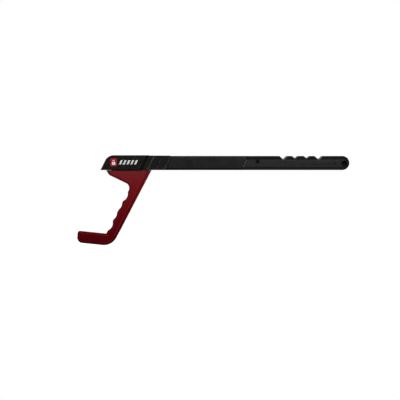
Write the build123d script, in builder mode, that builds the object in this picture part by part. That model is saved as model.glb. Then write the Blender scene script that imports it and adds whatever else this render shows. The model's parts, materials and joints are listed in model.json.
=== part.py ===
"""Steering wheel lock: a steel bar with a key-locked folding hook at one end and a hand grip at the other.

Row frame, millimetres: +X runs along the bar from the nose to the tail, +Z is up and -Y is the badge side.
The origin is the centre of a 30 mm steering wheel rim seated in the hook, on the lock's middle plane.
"""

import os
from math import cos, pi, radians, sin, sqrt, tan

from build123d import *

# ---------------------------------------------------------------- driving dimensions

RIM_RADIUS = 15.0  # section of the wheel rim that seats in the hook

# Bar: a chamfered rectangular steel tube
BAR_BOTTOM = 38.0
BAR_HEIGHT = 28.0
BAR_DEPTH = 24.0
BAR_WALL = 3.0
BAR_CHAMFER = 3.0
EDGE_ROUNDING = 0.9  # of the bar's and the grip's long edges
TUBE_NOSE_X = -17.0  # slanted front end of the tube, where it crosses the bar's middle line
SEAM_X = 246.8  # slanted rear end of the tube
SEAM_BEVELS = ((1.6, 1.0), (1.8, 1.1))  # of tube and grip at the seam: along the bar and inwards
SLANT = 64.0  # every slanted edge of the bar leans this far from horizontal

# Hook
ARM_ANGLE = 62.5  # the arm runs down and forward at this angle from the bar
ARM_WIDTH = 21.8
HOLLOW_START = 9.0  # first finger hollow, along the arm from the rim's centre
HOLLOW_PITCH = 22.0
HOLLOW_DEPTHS = (3.4, 1.8, 1.8, 3.8)
HOLLOW_RADIUS = 15.5
FLARE_ANGLE = 25.6  # the rim seat's upper side falls at this angle
ROOT_LEFT_X = -29.2
ROOT_GAP = 0.4  # between the hook's flat root and the bar's underside
ELBOW_X, ELBOW_Z = -17.6, -114.0  # outer corner of arm and toe, before rounding
ELBOW_RADIUS = 28.0
TOE_ANGLE = 5.8
TOE_LENGTH = 71.3
TOE_WIDTH = 23.6
HOOK_HALF = 10.5
CORE_HALF = 6.0  # half the steel plate inside the hook
CORE_INSET = 5.0
SHELL_BEVEL = 4.0  # inset of the shells' flat outer face from their outline
OUTER_BEVEL = (8.5, 5.5)  # the same along the outer edge, at the root and at the elbow
BEVEL_DEPTH = 3.4
CREST_SHARE, CREST_DEPTH = 0.8, 0.45  # where the bevel turns over into the flat face

# Hinge
HINGE_RISE = 10.0  # pin centre above the bar's underside
FOLD_GAP = 1.0  # between the folded arm and the bar's underside
LUG_RADIUS = 9.0
PIN_RADIUS = 4.0
BUSH_RADIUS = 6.0
FLANGE = 1.2
FLANGE_RADIUS = 6.9
WASHER_RADIUS = 6.2
PIN_HEAD_RADIUS = 6.2
PIN_SEAT_RADIUS, PIN_SEAT_DEPTH = 6.5, 1.6  # in the tube's two side walls
PIN_NECK_RADIUS = 3.3
PIN_NECK_Y = (10.6, 11.5)  # groove for the retaining ring
RUNNING = 0.05  # radial clearance of everything that turns

# Lock
LOCK_X = 14.0
MODULE = 0.75
PINION_TEETH = 12
PRESSURE_ANGLE = 25.0
BACKLASH = 0.08
BOLT_HALF = 2.5
BOLT_BOTTOM, BOLT_TOP = 45.6, 52.0
BOLT_TIP_X = -6.5  # when it is drawn back
BOLT_LENGTH = 36.0
TONGUE_TOP = 43.5
HORN_X = (-19.0, -8.5)
HORN_TOP = 57.0
SLOT_X = (-20.5, 97.0)  # slot in the bar's underside for the hook's plate
PLUG_RADIUS = 5.5
BARREL_RADIUS = 7.2

# Head cover
COVER_HALF = 15.0
COVER_TOP = 67.4
COVER_END_X = 49.5
COVER_WALL = 2.2
COVER_ROUNDING = 1.2
COVER_END_BEVEL = (5.4, 2.5)  # along the bar and inwards, where the cover falls towards the collar
NOSE_TIP_X = -40.6
NOSE_RADIUS = 19.0

# Collar: a low neck, a ramp and two terraces, parted by slanted grooves
COLLAR_END_X = 94.8
COLLAR_TOP = 66.8
COLLAR_NECK = 12.6  # half depths
COLLAR_TERRACES = (14.0, 13.4)
COLLAR_RAMP_X = (58.0, 60.8)
COLLAR_GROOVES_X = (74.2, 91.0)  # the deepest line of each groove
GROOVE_LEFT, GROOVE_RIGHT, GROOVE_DEPTH = 0.6, 2.4, 1.2

# Tail grip
TAIL_X = 456.4
GRIP_HALF = 12.5
FACE_BOTTOM, FACE_TOP = 44.0, 58.0  # the grip's flat side face
NOTCH_X = 323.6
NOTCH_PITCH = 23.4
NOTCH_SIZES = ((13.6, 6.0), (10.4, 4.0), (10.4, 4.0), (13.6, 6.0))  # width and depth
NOTCH_CORE = 3.0  # half the depth over which the notches run straight
NOTCH_FLARE = (11.5, 2.8)  # how much each notch grows sideways and downwards from there to the grip's sides
GRIP_CORE = 6.5  # half the depth of the grip's full-height middle, between its bevels
GRIP_GROOVES = ((358.0, 432.0, 49.2, 0.8, 2.4), (391.0, 423.0, 52.2, 0.5, 1.0))  # from, to, Z, half, depth
END_X, END_Z = 446.4, 51.0  # recessed screw at the tail's end
END_RADIUS = 4.8
END_RING = 6.8
END_RING_DEPTH = 3.0
END_SCREW_RADIUS = 2.5
END_HEAD_RADIUS = 4.3
END_HEAD_Y = (-5.4, -2.0)
END_SOCKET = 4.0
END_NUT_FLATS = 8.0
END_NUT_Y = (8.0, 12.0)
TANG_HALF = 4.0
TANG_START_X, TANG_END_X = 205.0, 434.0

# Small screws and fits
FIT = 0.15  # clearance between parts assembled by hand
SNUG = 0.02  # clearance of pins and threads in their holes
SCREW_RADIUS = 1.5
HEAD_RADIUS, HEAD_SEAT_RADIUS = 2.8, 3.0
SOCKET_FLATS = 2.5
NUT_FLATS, NUT_THICK = 5.5, 2.4

# ---------------------------------------------------------------- derived dimensions

BAR_TOP = BAR_BOTTOM + BAR_HEIGHT
BAR_MID = BAR_BOTTOM + BAR_HEIGHT / 2
BAR_FACE = BAR_DEPTH / 2
BORE_HALF = BAR_FACE - BAR_WALL
BORE_BOTTOM = BAR_BOTTOM + BAR_WALL
BORE_TOP = BAR_TOP - BAR_WALL
HOOK_TOP = BAR_BOTTOM - ROOT_GAP
INNER, OUTER = RIM_RADIUS, RIM_RADIUS + ARM_WIDTH  # the arm's two edges, across from the rim's centre
FAR = 600.0  # longer than the lock, for cutting shapes

ARM_DOWN = (-cos(radians(ARM_ANGLE)), -sin(radians(ARM_ANGLE)))
ARM_OUT = (sin(radians(ARM_ANGLE)), -cos(radians(ARM_ANGLE)))
TOE_OUT = (-cos(radians(TOE_ANGLE)), sin(radians(TOE_ANGLE)))
TOE_UP = (sin(radians(TOE_ANGLE)), cos(radians(TOE_ANGLE)))

HINGE_Z = BAR_BOTTOM + HINGE_RISE
HINGE_X = (OUTER + HINGE_RISE + FOLD_GAP - HINGE_Z * ARM_OUT[1]) / ARM_OUT[0]
SLOT_HALF = CORE_HALF + 0.5

PITCH_RADIUS = MODULE * PINION_TEETH / 2
RACK_PITCH = MODULE * pi
LOCK_Z = BOLT_TOP - MODULE + PITCH_RADIUS


def arm(along, across):
    """A side-view point given along the arm, from the rim centre, and across it."""
    return (along * ARM_DOWN[0] + across * ARM_OUT[0], along * ARM_DOWN[1] + across * ARM_OUT[1])


def toe(out, up):
    """A side-view point given along the toe, from the elbow's outer corner, and up from its underside."""
    return (ELBOW_X + out * TOE_OUT[0] + up * TOE_UP[0], ELBOW_Z + out * TOE_OUT[1] + up * TOE_UP[1])


def crossing(point, direction, other, other_direction):
    """Where two side-view lines meet, each given by a point and a direction."""
    cross = direction[0] * other_direction[1] - direction[1] * other_direction[0]
    gap = (other[0] - point[0], other[1] - point[1])
    along = (gap[0] * other_direction[1] - gap[1] * other_direction[0]) / cross
    return (point[0] + along * direction[0], point[1] + along * direction[1])


def slanted(x_mid, z):
    """X at height z on a slanted edge that crosses the bar's middle line at x_mid."""
    return x_mid + (z - BAR_MID) / tan(radians(SLANT))


def slice_points(x_from, x_to, bottom, top):
    """The side-view outline between two slanted edges."""
    return [
        (slanted(x_from, bottom), bottom),
        (slanted(x_to, bottom), bottom),
        (slanted(x_to, top), top),
        (slanted(x_from, top), top),
    ]


def section_points(half, bottom, top, low_chamfer, high_chamfer):
    """The bar's chamfered cross section, each chamfer given as (inwards, along the side)."""
    return [
        (-half + low_chamfer[0], bottom),
        (half - low_chamfer[0], bottom),
        (half, bottom + low_chamfer[1]),
        (half, top - high_chamfer[1]),
        (half - high_chamfer[0], top),
        (-half + high_chamfer[0], top),
        (-half, top - high_chamfer[1]),
        (-half, bottom + low_chamfer[1]),
    ]


def tube_points(grow):
    """The tube's outer cross section, grown by a clearance."""
    corner = (BAR_CHAMFER, BAR_CHAMFER)
    return section_points(BAR_FACE + grow, BAR_BOTTOM - grow, BAR_TOP + grow, corner, corner)


def side(y):
    """The side-view plane at this Y. Its sketches read (X, Z), and extruding from it goes towards -Y."""
    return Plane.XZ.offset(-y)


def peg(x, z, radius, y_from, y_to, mode=Mode.ADD):
    """Adds a cylinder along Y, between two Y values, to the part being built."""
    with Locations(Location((x, (y_from + y_to) / 2, z), (90, 0, 0))):
        Cylinder(radius, abs(y_to - y_from), mode=mode)


def drill(x, z, radius, y_from, y_to):
    """Drills the part being built along Y."""
    peg(x, z, radius, y_from, y_to, mode=Mode.SUBTRACT)


def post(x, y, radius, z_from, z_to, mode=Mode.ADD):
    """Adds a cylinder along Z, between two heights, to the part being built."""
    with Locations((x, y, (z_from + z_to) / 2)):
        Cylinder(radius, abs(z_to - z_from), mode=mode)


def drill_down(x, y, radius, z_from, z_to):
    """Drills the part being built along Z."""
    post(x, y, radius, z_from, z_to, mode=Mode.SUBTRACT)


def block(x_from, x_to, y_from, y_to, z_from, z_to, mode=Mode.ADD):
    """Adds a box between two corners to the part being built."""
    with Locations(((x_from + x_to) / 2, (y_from + y_to) / 2, (z_from + z_to) / 2)):
        Box(x_to - x_from, y_to - y_from, z_to - z_from, mode=mode)


def pocket(x_from, x_to, y_from, y_to, z_from, z_to):
    """Cuts a box out of the part being built."""
    block(x_from, x_to, y_from, y_to, z_from, z_to, mode=Mode.SUBTRACT)


def hexagon(x, z, across_flats, y_from, y_to, mode=Mode.ADD):
    """Adds a hexagonal bar along Y, such as a nut, to the part being built."""
    with BuildSketch(side(max(y_from, y_to))) as outline:
        with Locations((x, z)):
            RegularPolygon(across_flats / 2, 6, major_radius=False)
    extrude(outline.sketch, amount=abs(y_to - y_from), mode=mode)


def hex_pocket(x, z, across_flats, y_from, y_to):
    """Cuts a hexagonal recess, such as a socket, into the part being built."""
    hexagon(x, z, across_flats, y_from, y_to, mode=Mode.SUBTRACT)


def across_slant(x_mid):
    """A plane square to a slanted edge. Its sketches read (along the bar, Y) and extrude up the slant."""
    lean, rise = cos(radians(SLANT)), sin(radians(SLANT))
    return Plane(origin=(x_mid, 0, BAR_MID), x_dir=(rise, 0, -lean), z_dir=(lean, 0, rise))


def bevel_seam(half, along, inwards):
    """Bevels both sides of the part being built at the seam, where its half depth is given."""
    with BuildSketch(across_slant(SEAM_X)) as wedges:
        for outside in (-1, 1):
            Polygon(
                (along, outside * half),
                (0, outside * (half - inwards)),
                (0, outside * (half + 1)),
                (along, outside * (half + 1)),
                align=None,
            )
    extrude(wedges.sketch, amount=BAR_HEIGHT, both=True, mode=Mode.SUBTRACT)


def save(part, name):
    """Labels a finished part and writes its STEP file."""
    part.label = name
    export_step(part, f"parts/{name}.step")


os.makedirs("parts", exist_ok=True)

# ---------------------------------------------------------------- screw places

COVER_SCREWS = ((-26.0, 49.0), (40.0, 59.0))
HOUSING_SCREWS_X = (0.0, 28.0)
RIVETS_X = (213.0, 231.0)
RIVET_RADIUS = 2.5
GRIP_SCREW = (273.0, 54.4)
GRIP_REAR_SCREWS = ((335.4, 51.0), (405.6, 54.0))
GRIP_SCREW_RADIUS = 2.0
GRIP_SCREW_HEAD_RADIUS = 3.9
GRIP_SCREW_HEAD_Y = (-10.2, -8.1)
GRIP_NUT_FLATS = 7.0
GRIP_NUT_Y = (6.2, 9.4)
GRIP_PIN = (428.6, 51.8)
GRIP_PIN_RADIUS = 1.5
GRIP_PIN_SINK = 2.2
HOOK_SCREWS = (arm(-28, 17), arm(-2, 26.5), arm(42, 26), arm(86, 26), toe(52, 11.5))
BOSS_RADIUS = 3.8
HEAD_BOSS_RADIUS = 4.6

# ---------------------------------------------------------------- frame: tube and nose

with BuildPart() as main_bar:
    with BuildSketch(Plane.YZ.offset(TUBE_NOSE_X - 20)) as tube_section:
        Polygon(*tube_points(0), align=None)
        fillet(tube_section.vertices(), EDGE_ROUNDING)
        with Locations((0, BAR_MID)):
            RectangleRounded(2 * BORE_HALF, BORE_TOP - BORE_BOTTOM, 0.8, mode=Mode.SUBTRACT)
    extrude(amount=SEAM_X - TUBE_NOSE_X + 40)
    with BuildSketch(Plane.XZ):
        Polygon(*slice_points(TUBE_NOSE_X, SEAM_X, BAR_BOTTOM - 1, BAR_TOP + 1), align=None)
    extrude(amount=BAR_DEPTH, both=True, mode=Mode.INTERSECT)
    # Slot in the underside, which the hook's plate swings through
    pocket(*SLOT_X, -SLOT_HALF, SLOT_HALF, BAR_BOTTOM - 1, BORE_BOTTOM + 1)
    # Hinge pin hole, with a seat for the pin's head in front and for its ring behind
    drill(HINGE_X, HINGE_Z, PIN_RADIUS + SNUG, -BAR_FACE, BAR_FACE)
    for outside in (-1, 1):
        seat_floor = outside * (BAR_FACE - PIN_SEAT_DEPTH)
        drill(HINGE_X, HINGE_Z, PIN_SEAT_RADIUS, outside * (BAR_FACE + 1), seat_floor)
    # Window for the lock cylinder, and clearance for the cover's screw bosses
    drill(LOCK_X, LOCK_Z, BARREL_RADIUS + FIT, 0, BAR_FACE + 1)
    drill(*COVER_SCREWS[1], BOSS_RADIUS + FIT, -BAR_FACE - 1, 0)
    drill(*COVER_SCREWS[1], HEAD_BOSS_RADIUS + FIT, 0, BAR_FACE + 1)
    # Countersunk screws that hold the lock housing, and rivets that hold the tang
    for x in HOUSING_SCREWS_X:
        drill_down(x, 0, SCREW_RADIUS + 0.1, BORE_TOP - 1, BAR_TOP)
        drill_down(x, 0, HEAD_SEAT_RADIUS, BAR_TOP - 2, BAR_TOP + 1)
    for x in RIVETS_X:
        drill_down(x, 0, RIVET_RADIUS + SNUG, BAR_BOTTOM - 1, BAR_TOP + 1)
    bevel_seam(BAR_FACE, -SEAM_BEVELS[0][0], SEAM_BEVELS[0][1])
save(main_bar.part, "main_bar")


def nose_sketch(inset, bottom, end_x):
    """The head's side view: slanted nose, rounded top corner and slanted end, drawn inset by a wall."""
    tip = NOSE_TIP_X + inset / sin(radians(SLANT))
    lean = 1 / tan(radians(SLANT))
    top = COVER_TOP - inset
    Polygon(
        (tip + (bottom - BAR_BOTTOM) * lean, bottom),
        (slanted(end_x, bottom), bottom),
        (slanted(end_x, top), top),
        (tip + (top - BAR_BOTTOM) * lean, top),
        align=None,
    )


with BuildPart() as nose_block:
    with BuildSketch(Plane.XZ) as nose_side:
        nose_sketch(COVER_WALL + FIT, BAR_BOTTOM, COVER_END_X)
        corner = nose_side.vertices().group_by(Axis.Y)[-1].sort_by(Axis.X)[0]
        fillet(corner, NOSE_RADIUS - COVER_WALL - FIT)
    extrude(amount=BAR_FACE, both=True)
    with BuildSketch(Plane.XZ):
        Polygon(*slice_points(-FAR, TUBE_NOSE_X - FIT, BAR_BOTTOM, BAR_TOP), align=None)
    extrude(amount=BAR_DEPTH, both=True, mode=Mode.INTERSECT)
    # Two cheeks that slide into the tube, one on each side of the hook's horn
    with BuildSketch(Plane.XZ):
        Polygon(*slice_points(TUBE_NOSE_X - 1, -11, BORE_BOTTOM + 1.6, BORE_TOP - 1.6), align=None)
    extrude(amount=BORE_HALF - FIT, both=True)
    pocket(SLOT_X[0], 0, -SLOT_HALF, SLOT_HALF, BAR_BOTTOM - 1, BAR_TOP)
    with BuildSketch(Plane.YZ.offset(-50)):
        Polygon(*tube_points(0), align=None)
    extrude(amount=60, mode=Mode.INTERSECT)
    drill(*COVER_SCREWS[0], SCREW_RADIUS + 0.1, -BAR_FACE, BAR_FACE)
    drill(*COVER_SCREWS[0], BOSS_RADIUS + FIT, -BAR_FACE - 1, -8)
    drill(*COVER_SCREWS[0], HEAD_BOSS_RADIUS + FIT, 9, BAR_FACE + 1)
save(nose_block.part, "nose_block")

# ---------------------------------------------------------------- frame: head cover, badge and collar

with BuildPart() as head_cavity:
    with BuildSketch(Plane.XZ) as cavity_side:
        nose_sketch(COVER_WALL, BAR_BOTTOM - 1, COVER_END_X + 20)
        corner = cavity_side.vertices().group_by(Axis.Y)[-1].sort_by(Axis.X)[0]
        fillet(corner, NOSE_RADIUS - COVER_WALL)
    extrude(amount=COVER_HALF, both=True)
    with BuildSketch(Plane.YZ.offset(-50)):
        Polygon(*tube_points(FIT), align=None)
    extrude(amount=FAR, mode=Mode.INTERSECT)

# The tube also fills the top of the cover, where the wall is thinner than at the nose
with BuildPart() as tube_space:
    with BuildSketch(Plane.YZ.offset(TUBE_NOSE_X - 20)):
        Polygon(*tube_points(FIT), align=None)
    extrude(amount=FAR)
    with BuildSketch(Plane.XZ):
        Polygon(*slice_points(TUBE_NOSE_X - FIT, FAR, BAR_BOTTOM - 2, BAR_TOP + 2), align=None)
    extrude(amount=BAR_DEPTH, both=True, mode=Mode.INTERSECT)


def head_shell(outside):
    """Half of the head cover, hollowed for nose block and tube, at the front (-1) or at the rear (1)."""
    with BuildPart() as shell:
        with BuildSketch(side(max(0, outside * COVER_HALF))) as outline:
            nose_sketch(0, BAR_BOTTOM, COVER_END_X)
            corner = outline.vertices().group_by(Axis.Y)[-1].sort_by(Axis.X)[0]
            fillet(corner, NOSE_RADIUS)
        extrude(amount=COVER_HALF)
        fillet(shell.faces().sort_by(Axis.Y)[min(0, -outside)].edges(), COVER_ROUNDING)
        # Bevel that falls towards the collar
        with BuildSketch(across_slant(COVER_END_X)):
            Polygon(
                (-COVER_END_BEVEL[0], outside * COVER_HALF),
                (0.1, outside * (COVER_HALF - COVER_END_BEVEL[1])),
                (0.1, outside * (COVER_HALF + 1)),
                (-COVER_END_BEVEL[0], outside * (COVER_HALF + 1)),
                align=None,
            )
        extrude(amount=BAR_HEIGHT, both=True, mode=Mode.SUBTRACT)
        add(head_cavity.part, mode=Mode.SUBTRACT)
        add(tube_space.part, mode=Mode.SUBTRACT)
    return shell.part


BADGE_X = (-25.0, 39.0)
BADGE_Z = (43.5, 63.0)
BADGE_SINK, BADGE_RISE = 0.8, 0.4


def badge_sketch(grow):
    """The badge plate's rounded outline."""
    with Locations(((BADGE_X[0] + BADGE_X[1]) / 2, (BADGE_Z[0] + BADGE_Z[1]) / 2)):
        width, height = BADGE_X[1] - BADGE_X[0], BADGE_Z[1] - BADGE_Z[0]
        RectangleRounded(width + 2 * grow, height + 2 * grow, 3 + grow)


with BuildPart() as badge_plate:
    with BuildSketch(side(-COVER_HALF + BADGE_SINK)):
        badge_sketch(0)
    extrude(amount=BADGE_SINK + BADGE_RISE)
    chamfer(badge_plate.faces().sort_by(Axis.Y)[0].edges(), 0.25)
save(badge_plate.part, "badge_plate")

with BuildPart() as head_cover_front:
    add(head_shell(-1))
    for place in COVER_SCREWS:
        peg(*place, BOSS_RADIUS, -COVER_HALF + 1.5, -8.5)
        drill(*place, SCREW_RADIUS + SNUG, -COVER_HALF + 1.6, -8)
    with BuildSketch(side(-COVER_HALF + BADGE_SINK + 0.02)):
        badge_sketch(0.05)
    extrude(amount=3, mode=Mode.SUBTRACT)
save(head_cover_front.part, "head_cover_front")

with BuildPart() as head_cover_rear:
    add(head_shell(1))
    for place in COVER_SCREWS:
        peg(*place, HEAD_BOSS_RADIUS, 9.3, COVER_HALF - 1)
        drill(*place, SCREW_RADIUS + 0.1, 0, COVER_HALF)
        drill(*place, HEAD_SEAT_RADIUS, 12.4, COVER_HALF + 1)
    drill(LOCK_X, LOCK_Z, BARREL_RADIUS + FIT, 0, COVER_HALF + 1)
    drill(LOCK_X, LOCK_Z, BARREL_RADIUS + 1.6, 0, 13.3)
save(head_cover_rear.part, "head_cover_rear")

with BuildPart() as head_cover_screws:
    for place in COVER_SCREWS:
        peg(*place, SCREW_RADIUS, -COVER_HALF + 1.8, 12.6)
        peg(*place, HEAD_RADIUS, 12.45, 14.3)
        hex_pocket(*place, SOCKET_FLATS, 13.3, 14.5)
save(head_cover_screws.part, "head_cover_screws")


def collar_half():
    """The collar's outer profile on one side, as (place on the bar's middle line, half depth) points."""
    first, second = COLLAR_TERRACES
    points = [
        (COVER_END_X + 0.05, 0),
        (COVER_END_X + 0.05, COLLAR_NECK),
        (COLLAR_RAMP_X[0], COLLAR_NECK),
        (COLLAR_RAMP_X[1], first),
    ]
    for x, before, after in zip(COLLAR_GROOVES_X, (first, second), (second, second)):
        points += [(x - GROOVE_LEFT, before), (x, after - GROOVE_DEPTH), (x + GROOVE_RIGHT, after)]
    return points + [(COLLAR_END_X - 0.8, second), (COLLAR_END_X, BAR_FACE + 0.5), (COLLAR_END_X, 0)]


with BuildPart() as stepped_collar:
    with BuildSketch(across_slant(0)):
        for outside in (-1, 1):
            Polygon(*((x * sin(radians(SLANT)), outside * half) for x, half in collar_half()), align=None)
    extrude(amount=2 * BAR_HEIGHT, both=True)
    # Chamfered like the tube, one terrace further out
    with BuildSketch(Plane.YZ) as collar_section:
        widest = max(COLLAR_TERRACES)
        Polygon(*section_points(widest, BAR_BOTTOM, COLLAR_TOP, (0.8, 0.8), (3.6, 3.4)), align=None)
        fillet(collar_section.vertices().group_by(Axis.Y)[-2:], EDGE_ROUNDING)
    extrude(amount=2 * COLLAR_END_X, mode=Mode.INTERSECT)
    with BuildSketch(Plane.YZ):
        Polygon(*tube_points(FIT), align=None)
    extrude(amount=2 * COLLAR_END_X, mode=Mode.SUBTRACT)
save(stepped_collar.part, "stepped_collar")

# ---------------------------------------------------------------- frame: lock housing, barrel and trim

HOUSING_X = (-5.5, 33.0)
HOUSING_Z = (44.0, BORE_TOP - FIT)

with BuildPart() as lock_housing:
    block(*HOUSING_X, -BORE_HALF + FIT, BORE_HALF - FIT, *HOUSING_Z)
    chamfer(lock_housing.edges().filter_by(Axis.X), 1.6)
    # Channel that guides the bolt, closed at its rear end
    channel_end = BOLT_TIP_X + BOLT_LENGTH + 0.5
    channel_half = BOLT_HALF + RUNNING
    pocket(-10, channel_end, -channel_half, channel_half, BOLT_BOTTOM - RUNNING, BOLT_TOP + RUNNING)
    # Room for the pinion and its ring, a bearing for the plug's tail, and the barrel's bore
    drill(LOCK_X, LOCK_Z, PITCH_RADIUS + MODULE + 0.5, -4.2, 3)
    drill(LOCK_X, LOCK_Z, 2.2 + RUNNING, -7, 0)
    drill(LOCK_X, LOCK_Z, BARREL_RADIUS + 0.05, 2.9, BORE_HALF + 1)
    for x in HOUSING_SCREWS_X:
        drill_down(x, 0, SCREW_RADIUS + SNUG, BORE_TOP - 9, BORE_TOP + 1)
save(lock_housing.part, "lock_housing")

with BuildPart() as lock_housing_screws:
    for x in HOUSING_SCREWS_X:
        post(x, 0, SCREW_RADIUS, BORE_TOP - 8.5, BAR_TOP - 1)
        post(x, 0, HEAD_RADIUS, BAR_TOP - 1.95, BAR_TOP - 0.1)
        drill_down(x, 0, 1.2, BAR_TOP - 1, BAR_TOP + 1)
save(lock_housing_screws.part, "lock_housing_screws")

BARREL_FRONT_Y, BARREL_REAR_Y = 3.0, 15.6

with BuildPart() as lock_barrel:
    peg(LOCK_X, LOCK_Z, BARREL_RADIUS, BARREL_FRONT_Y, BARREL_REAR_Y)
    peg(LOCK_X, LOCK_Z, BARREL_RADIUS + 1.4, BAR_FACE + 0.1, 13.2)
    chamfer(lock_barrel.faces().sort_by(Axis.Y)[-1].edges(), 0.4)
    drill(LOCK_X, LOCK_Z, PLUG_RADIUS + RUNNING, 0, 20)
save(lock_barrel.part, "lock_barrel")

with BuildPart() as keyhole_ring:
    peg(LOCK_X, LOCK_Z, 10.4, COVER_HALF, COVER_HALF + 1.4)
    chamfer(keyhole_ring.faces().sort_by(Axis.Y)[-1].edges(), 0.7)
    drill(LOCK_X, LOCK_Z, BARREL_RADIUS + 0.1, 10, 20)
save(keyhole_ring.part, "keyhole_ring")

# ---------------------------------------------------------------- frame: hinge

with BuildPart() as hinge_pin:
    peg(HINGE_X, HINGE_Z, PIN_HEAD_RADIUS, -BAR_FACE + 0.1, -BAR_FACE + PIN_SEAT_DEPTH - 0.1)
    peg(HINGE_X, HINGE_Z, PIN_RADIUS, -BAR_FACE + 0.1, PIN_NECK_Y[0])
    peg(HINGE_X, HINGE_Z, PIN_NECK_RADIUS, *PIN_NECK_Y)
    peg(HINGE_X, HINGE_Z, PIN_RADIUS, PIN_NECK_Y[1], BAR_FACE - 0.1)
    chamfer(hinge_pin.faces().sort_by(Axis.Y)[-1].edges(), 0.3)
save(hinge_pin.part, "hinge_pin")

with BuildPart() as hinge_ring:
    peg(HINGE_X, HINGE_Z, BUSH_RADIUS, PIN_NECK_Y[0] + 0.05, PIN_NECK_Y[1] - 0.05)
    drill(HINGE_X, HINGE_Z, PIN_NECK_RADIUS + 0.05, 10, 12)
    # The ring's open side
    pocket(HINGE_X - 2.4, HINGE_X + 2.4, 10, 12, HINGE_Z, HINGE_Z + 8)
save(hinge_ring.part, "hinge_ring")

FLANGE_FACE = CORE_HALF + FLANGE

with BuildPart() as hinge_washer:
    peg(HINGE_X, HINGE_Z, WASHER_RADIUS, -BORE_HALF + 0.05, -FLANGE_FACE - RUNNING)
    drill(HINGE_X, HINGE_Z, PIN_RADIUS + 0.1, -BORE_HALF, 0)
save(hinge_washer.part, "hinge_washer")

# A conical spring washer that keeps the hinge from rattling
with BuildPart() as disc_spring:
    low, high = FLANGE_FACE + RUNNING, BORE_HALF - 0.05
    thickness = 0.9
    bore = PIN_RADIUS + 0.1
    with BuildSketch(Plane.XY.offset(HINGE_Z)):
        with Locations((HINGE_X, 0)):
            Polygon(
                (bore, low),
                (WASHER_RADIUS, high - thickness),
                (WASHER_RADIUS, high),
                (bore, low + thickness),
                align=None,
            )
    revolve(axis=Axis((HINGE_X, 0, HINGE_Z), (0, 1, 0)))
save(disc_spring.part, "disc_spring")

# ---------------------------------------------------------------- frame: tail

with BuildPart() as tail_tang:
    # A spigot that fills the tube, then a narrow tang along the grip
    with BuildSketch(Plane.YZ.offset(TANG_START_X)):
        with Locations((0, BAR_MID)):
            RectangleRounded(2 * (BORE_HALF - 0.05), BORE_TOP - BORE_BOTTOM - 0.1, 1.4)
    extrude(amount=SEAM_X - TANG_START_X - 10)
    block(TANG_START_X, TANG_END_X, -TANG_HALF, TANG_HALF, FACE_BOTTOM, FACE_TOP)
    chamfer(tail_tang.faces().sort_by(Axis.X)[-1].edges(), 1.0)
    for x in RIVETS_X:
        drill_down(x, 0, RIVET_RADIUS + SNUG, BAR_BOTTOM, BAR_TOP)
    for place in (GRIP_SCREW, *GRIP_REAR_SCREWS):
        drill(*place, GRIP_SCREW_RADIUS + 0.2, -TANG_HALF - 1, TANG_HALF + 1)
    drill(*GRIP_PIN, GRIP_PIN_RADIUS + 0.1, -TANG_HALF - 1, TANG_HALF + 1)
save(tail_tang.part, "tail_tang")

with BuildPart() as tang_rivets:
    for x in RIVETS_X:
        post(x, 0, RIVET_RADIUS, BAR_BOTTOM + 0.1, BAR_TOP - 0.1)
save(tang_rivets.part, "tang_rivets")


def grip_side(bottom, top, end_x):
    """The grip's side view: a bar with a half-round end whose centre is at end_x."""
    start_x = SEAM_X - BAR_HEIGHT
    with BuildLine() as outline:
        Line((start_x, bottom), (end_x, bottom))
        ThreePointArc((end_x, bottom), (end_x + (top - bottom) / 2, (bottom + top) / 2), (end_x, top))
        Polyline((end_x, top), (start_x, top), (start_x, bottom))
    make_face(outline.edges())


def notch_side(x, width, depth):
    """A V over the bar's top, of this width and depth where it meets the top."""
    rise = 1.0
    half = width / 2 * (depth + rise) / depth
    Polygon((x - half, BAR_TOP + rise), (x, BAR_TOP - depth), (x + half, BAR_TOP + rise), align=None)


def grip_shell():
    """The whole tail grip, before it is split into halves: bevelled bar, round end and thumb notches."""
    with BuildPart() as grip:
        with BuildSketch(side(GRIP_CORE)):
            grip_side(BAR_BOTTOM, BAR_TOP, TAIL_X - BAR_HEIGHT / 2)
        extrude(amount=2 * GRIP_CORE)
        for outside in (-1, 1):
            with BuildSketch(side(outside * GRIP_CORE)):
                grip_side(BAR_BOTTOM, BAR_TOP, TAIL_X - BAR_HEIGHT / 2)
            with BuildSketch(side(outside * GRIP_HALF)):
                grip_side(FACE_BOTTOM, FACE_TOP, END_X)
            loft(ruled=True)
        fillet(grip.edges().filter_by(Axis.X), EDGE_ROUNDING)
        with BuildSketch(Plane.XZ):
            Polygon(*slice_points(SEAM_X + 0.02, TAIL_X + 20, BAR_BOTTOM - 1, BAR_TOP + 1), align=None)
        extrude(amount=BAR_DEPTH, both=True, mode=Mode.INTERSECT)
        bevel_seam(GRIP_HALF, *SEAM_BEVELS[1])
        # Thumb notches, straight in the middle and flared towards the sides
        for step, (width, depth) in enumerate(NOTCH_SIZES):
            x = NOTCH_X + step * NOTCH_PITCH
            with BuildSketch(side(NOTCH_CORE)):
                notch_side(x, width, depth)
            extrude(amount=2 * NOTCH_CORE, mode=Mode.SUBTRACT)
            for outside in (-1, 1):
                with BuildSketch(side(outside * NOTCH_CORE)):
                    notch_side(x, width, depth)
                with BuildSketch(side(outside * (GRIP_HALF + 1))):
                    notch_side(x, width + 2 * NOTCH_FLARE[0], depth + NOTCH_FLARE[1])
                loft(ruled=True, mode=Mode.SUBTRACT)
        # Room for the tang and for the screw at the end
        pocket(200, TANG_END_X + 0.5, -TANG_HALF - FIT, TANG_HALF + FIT, FACE_BOTTOM - 0.2, FACE_TOP + 0.2)
        drill(END_X, END_Z, END_SCREW_RADIUS + 0.1, -20, 20)
        drill(*GRIP_PIN, GRIP_PIN_RADIUS + 0.05, -20, 20)
        for x_from, x_to, z, half, depth in GRIP_GROOVES:
            for face_y in (-GRIP_HALF, GRIP_HALF):
                pocket(x_from, x_to, face_y - depth, face_y + depth, z - half, z + half)
    return grip.part


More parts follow.
